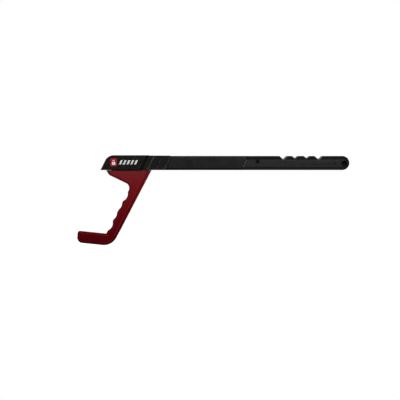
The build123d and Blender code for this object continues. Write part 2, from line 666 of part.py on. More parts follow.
grip_whole = grip_shell()

with BuildPart() as tail_grip_front:
    add(grip_whole)
    pocket(0, FAR, 0, 30, 0, 100)
    # The screw beside the seam and the one at the end are driven from this side, the others from behind
    drill(*GRIP_SCREW, GRIP_SCREW_HEAD_RADIUS + 0.3, -GRIP_HALF - 1, GRIP_SCREW_HEAD_Y[1] + 0.05)
    drill(*GRIP_SCREW, GRIP_SCREW_RADIUS + 0.1, -20, 0)
    for place in GRIP_REAR_SCREWS:
        drill(*place, SCREW_RADIUS + 0.1, -GRIP_HALF + 1.5, 0)
        hex_pocket(*place, NUT_FLATS + 0.1, -9, 0)
    drill(END_X, END_Z, END_RING + 0.1, -GRIP_HALF - 1, -GRIP_HALF + END_RING_DEPTH)
    drill(END_X, END_Z, END_RADIUS, -GRIP_HALF, END_HEAD_Y[1] + 0.05)
save(tail_grip_front.part, "tail_grip_front")

with BuildPart() as tail_grip_rear:
    add(grip_whole)
    pocket(0, FAR, -30, 0, 0, 100)
    drill(*GRIP_SCREW, GRIP_SCREW_RADIUS + 0.1, 0, GRIP_HALF - 1.5)
    hex_pocket(*GRIP_SCREW, GRIP_NUT_FLATS + 0.1, 0, GRIP_NUT_Y[1] + 0.1)
    for place in GRIP_REAR_SCREWS:
        drill(*place, 3.2, 9, GRIP_HALF + 1)
        drill(*place, SCREW_RADIUS + 0.1, 0, 20)
    hex_pocket(END_X, END_Z, END_NUT_FLATS + 0.1, END_NUT_Y[0] - 0.05, GRIP_HALF + 1)
save(tail_grip_rear.part, "tail_grip_rear")

with BuildPart() as grip_screws:
    peg(*GRIP_SCREW, GRIP_SCREW_RADIUS, GRIP_SCREW_HEAD_Y[1] - 0.5, GRIP_NUT_Y[1] - 0.1)
    peg(*GRIP_SCREW, GRIP_SCREW_HEAD_RADIUS, *GRIP_SCREW_HEAD_Y)
    hex_pocket(*GRIP_SCREW, 3.2, -12, -8.8)
    for place in GRIP_REAR_SCREWS:
        peg(*place, SCREW_RADIUS, -9, 9.3)
        peg(*place, 2.9, 9.05, 11.2)
        hex_pocket(*place, SOCKET_FLATS, 9.8, 12)
save(grip_screws.part, "grip_screws")

with BuildPart() as grip_nuts:
    hexagon(*GRIP_SCREW, GRIP_NUT_FLATS, *GRIP_NUT_Y)
    drill(*GRIP_SCREW, GRIP_SCREW_RADIUS + SNUG, 0, 12)
    for place in GRIP_REAR_SCREWS:
        hexagon(*place, NUT_FLATS, -8.9, -8.9 + NUT_THICK)
        drill(*place, SCREW_RADIUS + SNUG, -12, 0)
save(grip_nuts.part, "grip_nuts")

with BuildPart() as grip_pin:
    peg(*GRIP_PIN, GRIP_PIN_RADIUS, -GRIP_HALF + GRIP_PIN_SINK, GRIP_HALF - GRIP_PIN_SINK)
save(grip_pin.part, "grip_pin")

with BuildPart() as tail_ring:
    peg(END_X, END_Z, END_RING, -GRIP_HALF - 0.3, -GRIP_HALF + END_RING_DEPTH - 0.05)
    chamfer(tail_ring.faces().sort_by(Axis.Y)[0].edges(), 0.3)
    drill(END_X, END_Z, END_RADIUS, -20, 20)
    lip = tail_ring.faces().sort_by(Axis.Y)[0].edges().sort_by(SortBy.LENGTH)[0]
    chamfer(lip, 1.0)
save(tail_ring.part, "tail_ring")

with BuildPart() as tail_screw:
    peg(END_X, END_Z, END_SCREW_RADIUS, END_HEAD_Y[0] + 1, END_NUT_Y[1] - 0.5)
    peg(END_X, END_Z, END_HEAD_RADIUS, *END_HEAD_Y)
    chamfer(tail_screw.faces().sort_by(Axis.Y)[0].edges(), 0.4)
    hex_pocket(END_X, END_Z, END_SOCKET, END_HEAD_Y[0] - 1, END_HEAD_Y[0] + 2.6)
save(tail_screw.part, "tail_screw")

with BuildPart() as tail_nut:
    hexagon(END_X, END_Z, END_NUT_FLATS, *END_NUT_Y)
    drill(END_X, END_Z, END_SCREW_RADIUS + SNUG, 0, 20)
save(tail_nut.part, "tail_nut")

# ---------------------------------------------------------------- hook: steel core and red shells

FLARE_DOWN = (cos(radians(FLARE_ANGLE)), -sin(radians(FLARE_ANGLE)))
FLARE_OUT = (sin(radians(FLARE_ANGLE)), cos(radians(FLARE_ANGLE)))
LEFT_DOWN = (cos(radians(SLANT)), -sin(radians(SLANT)))
# Radius of each rounded corner, negative where the corner is convex
CORNER_ROUNDING = {
    "elbow_out": -ELBOW_RADIUS,
    "toe_low": -11.0,
    "toe_high": -4.6,
    "seat": 11.0,
    "flare_left": -14.0,
}


def hook_corners(left=0.0, low=0.0, right=(0.0, 0.0)):
    """The hook's side view as named corners before rounding, with each side drawn in by its own inset.

    left counts for the rim's side, low for the toe's end and underside, and right gives the outer edge's
    inset at the root and at the elbow.
    """
    seat = ((RIM_RADIUS + left) * FLARE_OUT[0], (RIM_RADIUS + left) * FLARE_OUT[1])
    upper = crossing(arm(0, OUTER - right[0]), ARM_DOWN, (0, HOOK_TOP), (1, 0))
    lower = crossing(arm(0, OUTER - right[1]), ARM_DOWN, (0, ELBOW_Z), (1, 0))
    edge = (lower[0] - upper[0], lower[1] - upper[1])
    inside = arm(0, INNER + left)
    root_left = (ROOT_LEFT_X + left / sin(radians(SLANT)), HOOK_TOP)
    return {
        "root_left": root_left,
        "root_right": upper,
        "elbow_out": crossing(upper, edge, toe(0, low), TOE_OUT),
        "toe_low": toe(TOE_LENGTH - low, low),
        "toe_high": toe(TOE_LENGTH - low, TOE_WIDTH - left),
        "elbow_in": crossing(inside, ARM_DOWN, toe(0, TOE_WIDTH - left), TOE_OUT),
        "seat": crossing(inside, ARM_DOWN, seat, FLARE_DOWN),
        "flare_left": crossing(root_left, LEFT_DOWN, seat, FLARE_DOWN),
    }


def near(sketch, point):
    """The sketch corner nearest to a point."""
    return sketch.vertices().sort_by_distance(Vector(*point))[0]


def hook_face(left=0.0, low=0.0, right=(0.0, 0.0)):
    """The hook's rounded side view with its finger hollows, drawn in by the given insets."""
    corners = hook_corners(left, low, right)
    with BuildSketch() as face:
        Polygon(*corners.values(), align=None)
        for name, radius in CORNER_ROUNDING.items():
            fillet(near(face, corners[name]), abs(radius + max(left, low)))
        for step, depth in enumerate(HOLLOW_DEPTHS):
            along = HOLLOW_START + step * HOLLOW_PITCH
            radius = HOLLOW_RADIUS + left
            sink = HOLLOW_RADIUS - depth
            with Locations(arm(along, INNER - sink)):
                Circle(radius, mode=Mode.SUBTRACT)
            half_chord = sqrt(radius**2 - (sink + left) ** 2)
            for end in (-half_chord, half_chord):
                fillet(near(face, arm(along + end, INNER + left)), 4.8 - left)
    return face.sketch


CORNERS = hook_corners()
HOOK_OUTLINE = hook_face()


def inset_face(share):
    """The hook's side view at a share of the shells' full bevel."""
    return hook_face(share * SHELL_BEVEL, share * SHELL_BEVEL, tuple(share * inset for inset in OUTER_BEVEL))


HOOK_CREST = inset_face(CREST_SHARE)
HOOK_FRONT = inset_face(1)

with BuildSketch() as core_arm:
    offset(HOOK_OUTLINE, amount=-CORE_INSET, kind=Kind.INTERSECTION)

HOOK_PLATE = core_arm.sketch

ROOT_LOW = HOOK_TOP - CORE_INSET - 2
ROOT_LEFT = CORNERS["root_left"][0] + CORE_INSET + 3


def core_right(z, grow=0.0):
    """X on the steel plate's outer edge at a height, moved out by a clearance."""
    return crossing(arm(0, OUTER - CORE_INSET + grow), ARM_DOWN, (0, z), (1, 0))[0]


with BuildPart() as hook_core:
    with BuildSketch(Plane.XZ):
        add(HOOK_PLATE)
        # Tongue, horn and neck inside the bar, and the root that joins them to the arm
        Polygon(
            (ROOT_LEFT, ROOT_LOW),
            (core_right(ROOT_LOW), ROOT_LOW),
            (core_right(BAR_BOTTOM + 0.3), BAR_BOTTOM + 0.3),
            (HINGE_X, BAR_BOTTOM + 0.3),
            (HINGE_X, TONGUE_TOP),
            (HORN_X[1], TONGUE_TOP),
            (HORN_X[1], HORN_TOP),
            (HORN_X[0], HORN_TOP),
            (HORN_X[0], HOOK_TOP),
            (ROOT_LEFT, HOOK_TOP),
            align=None,
        )
        with Locations((HINGE_X, HINGE_Z)):
            Circle(LUG_RADIUS)
        # Web from the lug down to the tongue
        Polygon((HINGE_X - 16, TONGUE_TOP), (HINGE_X, TONGUE_TOP), (HINGE_X - 6.5, HINGE_Z + 6.2), align=None)
    extrude(amount=CORE_HALF, both=True)
    # Pocket that the bolt enters, from the hinge side
    pocket(HORN_X[0] + 4, HORN_X[1] + 1, -3.1, 3.1, BOLT_BOTTOM - 0.6, BOLT_TOP + 0.6)
    drill(HINGE_X, HINGE_Z, BUSH_RADIUS + SNUG, -10, 10)
    for place in HOOK_SCREWS:
        drill(*place, SCREW_RADIUS + 0.2, -10, 10)
save(hook_core.part, "hook_core")

with BuildPart() as core_space:
    with BuildSketch(Plane.XZ):
        offset(HOOK_PLATE, amount=0.1, kind=Kind.INTERSECTION)
        Polygon(
            (ROOT_LEFT - 0.1, ROOT_LOW),
            (core_right(ROOT_LOW, 0.1), ROOT_LOW),
            (core_right(BAR_TOP, 0.1), BAR_TOP),
            (ROOT_LEFT - 0.1, BAR_TOP),
            align=None,
        )
    extrude(amount=CORE_HALF + 0.05, both=True)


def hook_shell(front):
    """One red half of the hook: its outer face is bevelled all round, wider along the outer edge."""
    with BuildPart() as shell:
        with BuildSketch(side(0 if front else HOOK_HALF - BEVEL_DEPTH)):
            add(HOOK_OUTLINE)
        extrude(amount=HOOK_HALF - BEVEL_DEPTH)
        outside = -1 if front else 1
        with BuildSketch(side(outside * (HOOK_HALF - BEVEL_DEPTH))):
            add(HOOK_OUTLINE)
        with BuildSketch(side(outside * (HOOK_HALF - CREST_DEPTH))):
            add(HOOK_CREST)
        with BuildSketch(side(outside * HOOK_HALF)):
            add(HOOK_FRONT)
        loft(ruled=True)
        add(core_space.part, mode=Mode.SUBTRACT)
        for place in HOOK_SCREWS:
            if front:
                drill(*place, SCREW_RADIUS + 0.1, -9, 0)
                hex_pocket(*place, NUT_FLATS + 0.1, -8.6, 0)
            else:
                drill(*place, SCREW_RADIUS + 0.1, 0, 20)
                drill(*place, HEAD_SEAT_RADIUS, 8.3, 20)
    return shell.part


save(hook_shell(True), "hook_shell_front")
save(hook_shell(False), "hook_shell_rear")

with BuildPart() as hook_screws:
    for place in HOOK_SCREWS:
        peg(*place, SCREW_RADIUS, -8.4, 8.6)
        peg(*place, HEAD_RADIUS, 8.35, 10.2)
        hex_pocket(*place, SOCKET_FLATS, 9.2, 11)
save(hook_screws.part, "hook_screws")

with BuildPart() as hook_nuts:
    for place in HOOK_SCREWS:
        hexagon(*place, NUT_FLATS, -8.5, -8.5 + NUT_THICK)
        drill(*place, SCREW_RADIUS + SNUG, -12, 0)
save(hook_nuts.part, "hook_nuts")


def hinge_bush(sign):
    """A flanged bush, pressed into the hook's lug from one side."""
    with BuildPart() as bush:
        peg(HINGE_X, HINGE_Z, BUSH_RADIUS, sign * 0.1, sign * CORE_HALF)
        peg(HINGE_X, HINGE_Z, FLANGE_RADIUS, sign * (CORE_HALF + 0.01), sign * FLANGE_FACE)
        peg(HINGE_X, HINGE_Z, BUSH_RADIUS, sign * (CORE_HALF - 1), sign * (CORE_HALF + 1))
        drill(HINGE_X, HINGE_Z, PIN_RADIUS + RUNNING, -10, 10)
    return bush.part


save(hinge_bush(-1), "hinge_bush_front")
save(hinge_bush(1), "hinge_bush_rear")

# ---------------------------------------------------------------- lock: plug, wafers, pinion and bolt

TAIL_RADIUS = 2.2
WAFER_Y = [4.6 + 2.1 * k for k in range(5)]
WAFER = (4.6, 9.2, 0.8)  # width, height, thickness
KEYWAY = (2.4, 6.6)
PLUG_REAR_Y = 15.5


def upright_box(width, y_from, y_to, height, mode=Mode.ADD):
    """Adds or cuts a box centred on the plug's axis."""
    half, rise = width / 2, height / 2
    block(LOCK_X - half, LOCK_X + half, y_from, y_to, LOCK_Z - rise, LOCK_Z + rise, mode=mode)


with BuildPart() as lock_plug:
    peg(LOCK_X, LOCK_Z, PLUG_RADIUS, 3.3, PLUG_REAR_Y)
    chamfer(lock_plug.faces().sort_by(Axis.Y)[-1].edges(), 0.3)
    peg(LOCK_X, LOCK_Z, TAIL_RADIUS, -3.0, 3.4)
    peg(LOCK_X, LOCK_Z, 1.5, -3.7, -3.0)
    peg(LOCK_X, LOCK_Z, TAIL_RADIUS, -6.5, -3.7)
    # A flat on the tail drives the pinion
    pocket(LOCK_X + 1.6, LOCK_X + 4, -3.8, 2.6, LOCK_Z - 4, LOCK_Z + 4)
    upright_box(KEYWAY[0], 4, 20, KEYWAY[1], Mode.SUBTRACT)
    for y in WAFER_Y:
        upright_box(WAFER[0] + 0.2, y - 0.05, y + WAFER[2] + 0.05, WAFER[1] + 0.2, Mode.SUBTRACT)
save(lock_plug.part, "lock_plug")

with BuildPart() as lock_wafers:
    for y in WAFER_Y:
        upright_box(WAFER[0], y, y + WAFER[2], WAFER[1])
        upright_box(2.8, y - 0.5, y + 1.5, 7.0, Mode.SUBTRACT)
save(lock_wafers.part, "lock_wafers")


def involute_points(base, radius_end, count=5):
    """Points along an involute from its base circle out to a radius, starting on the +X axis."""
    end = sqrt((radius_end / base) ** 2 - 1)
    rolls = [end * k / (count - 1) for k in range(count)]
    return [(base * (cos(t) + t * sin(t)), base * (sin(t) - t * cos(t))) for t in rolls]


def turned(point, angle):
    """A point turned about the origin."""
    return (point[0] * cos(angle) - point[1] * sin(angle), point[0] * sin(angle) + point[1] * cos(angle))


BASE_RADIUS = PITCH_RADIUS * cos(radians(PRESSURE_ANGLE))
TIP_RADIUS = PITCH_RADIUS + MODULE
ROOT_RADIUS = PITCH_RADIUS - 1.25 * MODULE
HALF_TOOTH = pi / (2 * PINION_TEETH) - BACKLASH / (2 * PITCH_RADIUS)
INVOLUTE_SHIFT = tan(radians(PRESSURE_ANGLE)) - radians(PRESSURE_ANGLE)

with BuildSketch() as pinion_side:
    Circle(ROOT_RADIUS)
    for k in range(PINION_TEETH):
        middle = -pi / 2 + 2 * pi * k / PINION_TEETH
        start = middle - HALF_TOOTH - INVOLUTE_SHIFT
        lower = [turned(p, start) for p in involute_points(BASE_RADIUS, TIP_RADIUS)]
        mirrored = [turned((x, -y), 2 * middle - start) for x, y in involute_points(BASE_RADIUS, TIP_RADIUS)]
        foot = ROOT_RADIUS - 0.3
        with BuildLine():
            Spline(*lower)
            Line(lower[-1], mirrored[-1])
            Spline(*mirrored)
            Line(mirrored[0], turned((foot, 0), 2 * middle - start))
            Line(turned((foot, 0), 2 * middle - start), turned((foot, 0), start))
            Line(turned((foot, 0), start), lower[0])
        make_face()

with BuildPart() as bolt_pinion:
    with BuildSketch(side(2.5)):
        with Locations((LOCK_X, LOCK_Z)):
            add(pinion_side.sketch)
    extrude(amount=5.2)
    with BuildSketch(side(10)):
        with Locations((LOCK_X, LOCK_Z)):
            Circle(TAIL_RADIUS + 0.03)
        with Locations((LOCK_X + 1.65 + 2, LOCK_Z)):
            Rectangle(4, 6, mode=Mode.SUBTRACT)
    extrude(amount=20, mode=Mode.SUBTRACT)
save(bolt_pinion.part, "bolt_pinion")

with BuildPart() as plug_ring:
    peg(LOCK_X, LOCK_Z, 3.4, -3.6, -3.05)
    drill(LOCK_X, LOCK_Z, 1.55, -5, 0)
    pocket(LOCK_X - 1.1, LOCK_X + 1.1, -5, 0, LOCK_Z, LOCK_Z + 5)
save(plug_ring.part, "plug_ring")

with BuildPart() as lock_bolt:
    bolt_end = BOLT_TIP_X + BOLT_LENGTH
    pitch_line = BOLT_TOP - MODULE
    with BuildSketch(side(BOLT_HALF)):
        Polygon(
            (BOLT_TIP_X, BOLT_BOTTOM + 0.8),
            (BOLT_TIP_X + 0.8, BOLT_BOTTOM),
            (bolt_end, BOLT_BOTTOM),
            (bolt_end, BOLT_TOP),
            (BOLT_TIP_X + 0.8, BOLT_TOP),
            (BOLT_TIP_X, BOLT_TOP - 0.8),
            align=None,
        )
        # Rack spaces, wide enough for the pinion's teeth plus backlash
        rise = tan(radians(PRESSURE_ANGLE))
        top_half = RACK_PITCH / 4 + BACKLASH / 2 + (MODULE + 0.5) * rise
        root_depth = 1.25 * MODULE
        root_half = RACK_PITCH / 4 + BACKLASH / 2 - root_depth * rise
        for k in range(-2, 6):
            x = LOCK_X + k * RACK_PITCH
            Polygon(
                (x - top_half, BOLT_TOP + 0.5),
                (x - root_half, pitch_line - root_depth),
                (x + root_half, pitch_line - root_depth),
                (x + top_half, BOLT_TOP + 0.5),
                align=None,
                mode=Mode.SUBTRACT,
            )
    extrude(amount=2 * BOLT_HALF)
save(lock_bolt.part, "lock_bolt")

# ---------------------------------------------------------------- key

KEY_BLADE = (2.0, 6.2)
KEY_TIP_Y = 4.3
BOW_Y = 18.0

with BuildPart() as key_blade:
    low, high = LOCK_Z - KEY_BLADE[1] / 2, LOCK_Z + KEY_BLADE[1] / 2
    blade_end = BOW_Y + 9
    with BuildSketch(Plane.YZ.offset(LOCK_X - KEY_BLADE[0] / 2)):
        Polygon(
            (KEY_TIP_Y, LOCK_Z),
            (KEY_TIP_Y + 2, low),
            (blade_end, low),
            (blade_end, high),
            (KEY_TIP_Y + 2, high),
            align=None,
        )
        # Coded cuts along both edges
        for k, y in enumerate(WAFER_Y[1:]):
            cut = 0.5 + 0.35 * (k % 3)
            for edge, inwards in ((low, 1), (high, -1)):
                outer, deepest = edge - inwards * 0.1, edge + inwards * cut
                valley = ((y - cut, outer), (y + cut + 0.8, outer), (y + 0.4, deepest))
                Polygon(*valley, align=None, mode=Mode.SUBTRACT)
    extrude(amount=KEY_BLADE[0])
    # Groove milled along the blade
    pocket(LOCK_X - 1.1, LOCK_X - 0.5, KEY_TIP_Y + 3, BOW_Y - 1, LOCK_Z - 0.7, LOCK_Z + 0.7)
save(key_blade.part, "key_blade")

with BuildPart() as key_bow:
    with BuildSketch(Plane.YZ.offset(LOCK_X - 2.6)) as bow_side:
        with Locations((BOW_Y + 12.5, LOCK_Z)):
            Rectangle(22, 21)
        fillet(bow_side.vertices(), 6.5)
        with Locations((BOW_Y + 1.5, LOCK_Z)):
            Rectangle(3, 11)
    extrude(amount=5.2)
    with BuildSketch(Plane.YZ.offset(LOCK_X - 3)):
        with Locations((BOW_Y + 18.5, LOCK_Z)):
            SlotOverall(9, 4.5, rotation=90)
    extrude(amount=6, mode=Mode.SUBTRACT)
    chamfer(key_bow.edges().filter_by(lambda e: abs(abs(e.center().X - LOCK_X) - 2.6) < 0.01), 0.6)
    upright_box(KEY_BLADE[0] + 0.04, 0, BOW_Y + 9.05, KEY_BLADE[1] + 0.04, Mode.SUBTRACT)
save(key_bow.part, "key_bow")
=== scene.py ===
"""Looks of the steering wheel lock: materials, markings, camera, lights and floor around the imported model."""

import json
import math

import bmesh
import bpy
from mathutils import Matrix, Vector


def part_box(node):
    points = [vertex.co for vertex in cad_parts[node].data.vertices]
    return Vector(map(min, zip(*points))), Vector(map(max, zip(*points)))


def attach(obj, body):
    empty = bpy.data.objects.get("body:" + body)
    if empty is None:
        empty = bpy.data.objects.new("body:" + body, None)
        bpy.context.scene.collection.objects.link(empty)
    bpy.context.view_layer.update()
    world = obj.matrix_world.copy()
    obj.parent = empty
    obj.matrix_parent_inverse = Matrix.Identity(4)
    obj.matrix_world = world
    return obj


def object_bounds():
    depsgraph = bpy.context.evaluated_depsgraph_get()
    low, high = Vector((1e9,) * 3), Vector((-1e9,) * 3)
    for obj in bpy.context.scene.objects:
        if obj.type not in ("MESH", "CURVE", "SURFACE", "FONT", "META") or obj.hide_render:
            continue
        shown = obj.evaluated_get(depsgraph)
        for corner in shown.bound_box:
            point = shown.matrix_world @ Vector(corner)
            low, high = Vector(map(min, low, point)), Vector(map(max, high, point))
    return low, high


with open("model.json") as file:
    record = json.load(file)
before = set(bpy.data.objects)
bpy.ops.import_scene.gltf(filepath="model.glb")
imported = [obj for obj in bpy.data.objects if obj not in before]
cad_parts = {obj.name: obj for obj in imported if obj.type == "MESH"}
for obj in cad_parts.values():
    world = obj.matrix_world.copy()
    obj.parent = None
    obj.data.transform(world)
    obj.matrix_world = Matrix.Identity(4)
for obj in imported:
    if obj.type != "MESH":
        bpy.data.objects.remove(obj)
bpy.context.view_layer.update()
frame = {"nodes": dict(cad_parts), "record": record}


MM = 0.001
WHITE = (1.0, 1.0, 1.0)


def shaded(colour, factor):
    """A colour made lighter or darker by a factor, and white at most."""
    return tuple(min(1.0, value * factor) for value in colour)


# ---------------------------------------------------------------- material tools

RANGE_NAMES = ("From Min", "From Max", "To Min", "To Max")
# A colour mix node's sockets, which share their names with those of its other data types
MIX_SHARE, MIX_FIRST, MIX_SECOND, MIX_RESULT = 0, 6, 7, 2
NOISE_SPREAD = (0.3, 0.7)  # where most values of a noise lie
FLAT_COSINE = 0.998  # a rounded normal this close to the real one still counts as flat
GLANCING_START, GLANCING_END = 0.40, 0.62  # one minus the cosine of the viewing angle
GLANCING_REST = 0.02  # share of the specular level that is left beyond the end
EVEN_BLEND = 0.5  # makes a Layer Weight node give one minus the cosine


class Graph:
    """A material's node tree, with short calls for the nodes used here."""

    def __init__(self, name):
        self.material = bpy.data.materials.new(name)
        self.material.use_nodes = True
        self.tree = self.material.node_tree
        self.tree.nodes.clear()
        self.output = self.add("OutputMaterial")
        self.shader = self.add("BsdfPrincipled")
        self.tree.links.new(self.shader.outputs["BSDF"], self.output.inputs["Surface"])
        self.place = self.add("TexCoord").outputs["Object"]

    def add(self, kind):
        """A new shader node of this kind."""
        return self.tree.nodes.new("ShaderNode" + kind)

    def put(self, socket, value):
        """Sets an input to a value, or links it to another node's output."""
        if isinstance(value, bpy.types.NodeSocket):
            self.tree.links.new(value, socket)
        elif isinstance(value, tuple) and len(value) == 3 and socket.type == "RGBA":
            socket.default_value = (*value, 1.0)
        else:
            socket.default_value = value

    def set(self, **inputs):
        """Sets the surface shader's inputs, such as Base_Color or Roughness."""
        for name, value in inputs.items():
            self.put(self.shader.inputs[name.replace("_", " ")], value)

    def stretched(self, scale):
        """The object's place, stretched by a factor on each axis."""
        node = self.add("Mapping")
        self.put(node.inputs["Vector"], self.place)
        self.put(node.inputs["Scale"], scale)
        return node.outputs["Vector"]

    def noise(self, size, detail=3.0, rough=0.5, vector=None):
        """Cloudy noise whose blotches measure about size metres, around 0.5."""
        node = self.add("TexNoise")
        self.put(node.inputs["Vector"], vector or self.place)
        self.put(node.inputs["Scale"], 1.0 / size)
        self.put(node.inputs["Detail"], detail)
        self.put(node.inputs["Roughness"], rough)
        return node.outputs["Fac"]

    def cells(self, size):
        """Cell noise whose cells measure about size metres."""
        node = self.add("TexVoronoi")
        self.put(node.inputs["Vector"], self.place)
        self.put(node.inputs["Scale"], 1.0 / size)
        return node.outputs["Distance"]

    def ramp(self, value, low, high, out_low=0.0, out_high=1.0):
        """A value moved from one range to another and held inside it."""
        node = self.add("MapRange")
        node.clamp = True
        self.put(node.inputs["Value"], value)
        for name, number in zip(RANGE_NAMES, (low, high, out_low, out_high)):
            self.put(node.inputs[name], number)
        return node.outputs["Result"]

    def clouds(self, size, detail, low=0.0, high=1.0, rough=0.5, spread=NOISE_SPREAD):
        """Cloudy noise stretched to run from low to high."""
        return self.ramp(self.noise(size, detail, rough), *spread, low, high)

    def math(self, operation, first, second):
        """Arithmetic on two values."""
        node = self.add("Math")
        node.operation = operation
        self.put(node.inputs[0], first)
        self.put(node.inputs[1], second)
        return node.outputs["Value"]

    def times(self, first, second):
        """The product of two values."""
        return self.math("MULTIPLY", first, second)

    def mix(self, share, first, second):
        """A blend of two colours."""
        node = self.add("Mix")
        node.data_type = "RGBA"
        self.put(node.inputs[MIX_SHARE], share)
        self.put(node.inputs[MIX_FIRST], first)
        self.put(node.inputs[MIX_SECOND], second)
        return node.outputs[MIX_RESULT]

    def edges(self, width, turned=0.90):
        """1 on edges and 0 on flat faces: where a normal rounded over this width turns from the real one."""
        bevel = self.add("Bevel")
        bevel.samples = 4
        self.put(bevel.inputs["Radius"], width)
        dot = self.add("VectorMath")
        dot.operation = "DOT_PRODUCT"
        self.put(dot.inputs[0], bevel.outputs["Normal"])
        self.put(dot.inputs[1], self.add("NewGeometry").outputs["Normal"])
        return self.ramp(dot.outputs["Value"], FLAT_COSINE, turned)

    def part_of(self, vector, axis):
        """One of a vector's three numbers."""
        node = self.add("SeparateXYZ")
        self.put(node.inputs["Vector"], vector)
        return node.outputs[axis]

    def height(self):
        """The place's height above the frame's origin, in metres."""
        return self.part_of(self.place, "Z")

    def facing(self, axis):
        """How far the surface faces along an axis, from -1 to 1."""
        return self.part_of(self.add("NewGeometry").outputs["Normal"], axis)

    def glancing(self, level):
        """A specular level that fades at glancing angles, where the fine grain scatters the reflection."""
        node = self.add("LayerWeight")
        self.put(node.inputs["Blend"], EVEN_BLEND)
        fade = self.ramp(node.outputs["Facing"], GLANCING_START, GLANCING_END, 1.0, GLANCING_REST)
        return self.times(fade, level)

    def bump(self, height, depth, strength=1.0, normal=None):
        """Turns a height pattern into a bumped normal, stacked on an earlier one."""
        node = self.add("Bump")
        self.put(node.inputs["Distance"], depth)
        self.put(node.inputs["Strength"], strength)
        self.put(node.inputs["Height"], height)
        if normal is not None:
            self.put(node.inputs["Normal"], normal)
        return node.outputs["Normal"]


# ---------------------------------------------------------------- materials


def moulded_plastic(
    name, colour, worn, grain, roughness, specular=0.42, edge=0.6 * MM, slope_highlight=None, under=None
):
    """Moulded plastic: fine grain and polished edges. Where given, a painted highlight on slopes turned up and
    to -X, and painted bounce light on faces turned down.
    """
    g = Graph(name)
    worn_edge = g.times(g.edges(edge), g.clouds(5 * MM, 4, 0.25, 1.0, spread=(0.35, 0.7)))
    shade = g.mix(g.clouds(28 * MM, 4), colour, shaded(colour, 1.18))
    if slope_highlight:
        # Painted highlight: slopes turned up and to -X are painted lighter
        slopes = g.times(g.ramp(g.facing("X"), -0.3, -0.5), g.ramp(g.facing("Z"), 0.45, 0.60))
        shade = g.mix(g.times(slopes, g.clouds(6 * MM, 4, 0.35, 1.0)), shade, slope_highlight)
    if under:
        # Painted bounce light: faces turned down are painted lighter
        shade = g.mix(g.ramp(g.facing("Z"), -0.2, -0.45), shade, under)
    smudges = g.clouds(14 * MM, 5, roughness - 0.05, roughness + 0.07, rough=0.6, spread=(0.35, 0.7))
    waves = g.bump(g.noise(9 * MM, 2), 0.05 * MM, 0.5)
    g.set(Base_Color=g.mix(worn_edge, shade, worn))
    g.set(Roughness=g.math("SUBTRACT", smudges, g.times(worn_edge, 0.12)))
    g.set(Normal=g.bump(g.cells(grain), 0.05 * MM, 0.55, waves))
    g.set(Specular_IOR_Level=g.glancing(specular))
    return g.material


def powder_coat(name, colour, worn, roughness, specular=0.24):
    """Satin powder coat on steel: orange peel, and thin coat along the edges."""
    g = Graph(name)
    worn_edge = g.times(g.edges(0.5 * MM), g.clouds(4 * MM, 5, spread=(0.4, 0.66)))
    shade = g.mix(g.clouds(40 * MM, 3), colour, shaded(colour, 1.15))
    peel = g.bump(g.noise(1.6 * MM, 2, 0.4), 0.06 * MM, 0.5)
    g.set(Base_Color=g.mix(worn_edge, shade, worn))
    g.set(Roughness=g.clouds(18 * MM, 5, roughness - 0.04, roughness + 0.06, rough=0.6))
    g.set(Normal=g.bump(g.noise(0.35 * MM, 1), 0.012 * MM, 0.5, peel))
    g.set(Specular_IOR_Level=g.glancing(specular))
    return g.material


def hook_paint(name):
    """Deep red stoved paint, with painted light: lighter towards the top, a painted sheen at the root, painted
    shade on faces turned to -X and a painted highlight along the outer edge.
    """
    deep, deep_cloud = (0.088, 0.0004, 0.0022), (0.112, 0.0008, 0.0034)
    # A lighter red for the top, where painted light falls, and a paler red for a painted sheen at the root
    upper_lit_red, painted_sheen_red = (0.178, 0.0024, 0.0056), (0.175, 0.0120, 0.0140)
    # A dark red for painted shade on faces turned to -X, and a pale red for a painted highlight along the outer
    # edge
    painted_shade_red, painted_highlight_red = (0.030, 0.0004, 0.0030), (0.36, 0.050, 0.058)
    g = Graph(name)
    low = g.mix(g.clouds(45 * MM, 3), deep, deep_cloud)
    # Painted light: the red grows lighter from the toe up to the root
    painted_falloff = g.mix(g.ramp(g.height(), -95 * MM, 0.0), low, upper_lit_red)
    # Painted sheen: a paler red near the root
    painted_sheen = g.mix(g.ramp(g.height(), 0.0, 36 * MM), painted_falloff, painted_sheen_red)
    # Painted shade: faces turned to -X are darker
    painted_shade = g.mix(g.ramp(g.facing("X"), -0.4, -0.8, 0.0, 0.5), painted_sheen, painted_shade_red)
    # Painted highlight: a pale red on edges that face +X
    edge_highlight = g.times(g.edges(1.6 * MM, 0.988), g.clouds(7 * MM, 5, 0.45, 1.0))
    outer = g.ramp(g.facing("X"), -0.02, 0.12, 0.12, 1.0)
    peel = g.bump(g.noise(2.2 * MM, 2, 0.4), 0.07 * MM, 0.5)
    g.set(Base_Color=g.mix(g.times(edge_highlight, outer), painted_shade, painted_highlight_red))
    g.set(Roughness=g.clouds(22 * MM, 5, 0.38, 0.48, rough=0.6))
    g.set(Normal=g.bump(g.noise(0.4 * MM, 1), 0.01 * MM, 0.5, peel))
    g.set(Specular_IOR_Level=g.glancing(g.ramp(g.height(), -70 * MM, 30 * MM, 0.02, 0.10)))
    return g.material


